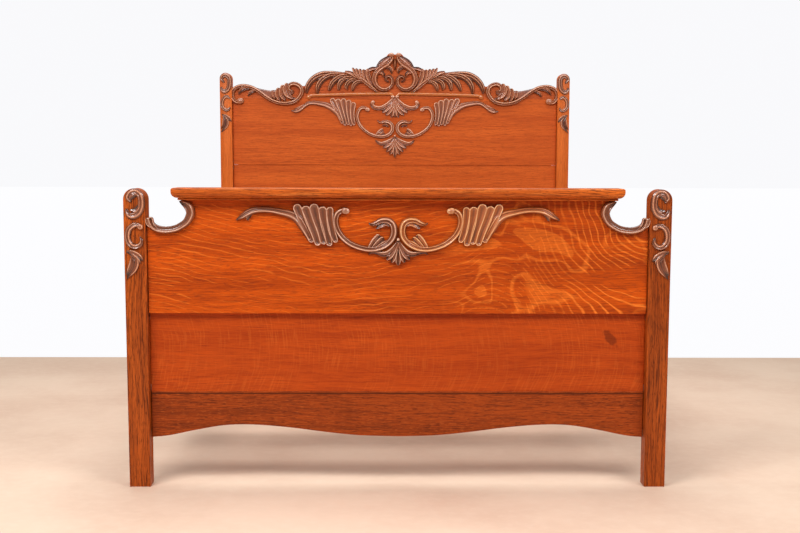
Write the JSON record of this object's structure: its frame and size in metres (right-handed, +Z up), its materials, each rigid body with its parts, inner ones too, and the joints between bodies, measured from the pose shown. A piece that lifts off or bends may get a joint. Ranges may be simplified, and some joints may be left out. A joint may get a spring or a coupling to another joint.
{
  "type": "carved panel bed",
  "caption": "Carved oak bed with a crested headboard, a capped panel footboard, lift-off side rails and loose slats.",
  "frame": {"origin": "on the floor, at the middle of the bed's outside length and width", "axes": "+Z up, +Y towards the headboard, +X across the bed to the right as seen from the foot"},
  "size_m": [1.48, 2.05, 1.35],
  "materials": {
    "panel_oak": "satin lacquer over quarter-sawn oak",
    "post_oak": "satin lacquer over straight-grained oak",
    "cap_oak": "satin lacquer over plain-sawn oak",
    "carved_oak": "satin lacquer over dark stained carving",
    "slat_wood": "bare sawn wood",
    "fastener_steel": "dull pressed steel"
  },
  "bodies": {
    "ends": {"crest_cartouche": "carved_oak", "crest_plume_left": "carved_oak", "crest_plume_right": "carved_oak", "crest_wing_left": "carved_oak", "crest_wing_right": "carved_oak", "foot_apron": "panel_oak", "foot_back_batten": "slat_wood", "foot_cap_fillet": "cap_oak", "foot_cap_rail": "cap_oak", "foot_corner_scroll_left": "carved_oak", "foot_corner_scroll_right": "carved_oak", "foot_drop_leaf": "carved_oak", "foot_lower_panel": "panel_oak", "foot_post_carving_left": "carved_oak", "foot_post_carving_right": "carved_oak", "foot_post_left": "post_oak", "foot_post_right": "post_oak", "foot_scroll_branch_left": "carved_oak", "foot_scroll_branch_right": "carved_oak", "foot_upper_board": "panel_oak", "head_bead_left": "carved_oak", "head_bead_right": "carved_oak", "head_bottom_rail": "panel_oak", "head_crest_board": "panel_oak", "head_drop_leaf": "carved_oak", "head_lower_panel": "panel_oak", "head_post_carving_left": "carved_oak", "head_post_carving_right": "carved_oak", "head_post_left": "post_oak", "head_post_right": "post_oak", "head_scroll_branch_left": "carved_oak", "head_scroll_branch_right": "carved_oak", "head_top_leaf": "carved_oak", "head_upper_panel": "panel_oak", "lower_pin_foot_left": "fastener_steel", "lower_pin_foot_right": "fastener_steel", "lower_pin_head_left": "fastener_steel", "lower_pin_head_right": "fastener_steel", "upper_pin_foot_left": "fastener_steel", "upper_pin_foot_right": "fastener_steel", "upper_pin_head_left": "fastener_steel", "upper_pin_head_right": "fastener_steel"},
    "side_frame": {"hook_plate_foot_left": "fastener_steel", "hook_plate_foot_right": "fastener_steel", "hook_plate_head_left": "fastener_steel", "hook_plate_head_right": "fastener_steel", "side_rail_left": "panel_oak", "side_rail_right": "panel_oak", "slat_ledge_left": "slat_wood", "slat_ledge_right": "slat_wood"},
    "slat_1": {"slat_1": "slat_wood"},
    "slat_2": {"slat_2": "slat_wood"},
    "slat_3": {"slat_3": "slat_wood"},
    "slat_4": {"slat_4": "slat_wood"},
    "slat_5": {"slat_5": "slat_wood"}
  },
  "joints": [
    {"name": "side_frame_lift", "type": "slide", "parent": "ends", "child": "side_frame", "axis": [0, 0, 1], "range_m": [0, 0.03]},
    {"name": "slat_1_lift", "type": "slide", "parent": "side_frame", "child": "slat_1", "axis": [0, 0, 1], "range_m": [0, 0.25]},
    {"name": "slat_2_lift", "type": "slide", "parent": "side_frame", "child": "slat_2", "axis": [0, 0, 1], "range_m": [0, 0.25]},
    {"name": "slat_3_lift", "type": "slide", "parent": "side_frame", "child": "slat_3", "axis": [0, 0, 1], "range_m": [0, 0.25]},
    {"name": "slat_4_lift", "type": "slide", "parent": "side_frame", "child": "slat_4", "axis": [0, 0, 1], "range_m": [0, 0.25]},
    {"name": "slat_5_lift", "type": "slide", "parent": "side_frame", "child": "slat_5", "axis": [0, 0, 1], "range_m": [0, 0.25]}
  ]
}
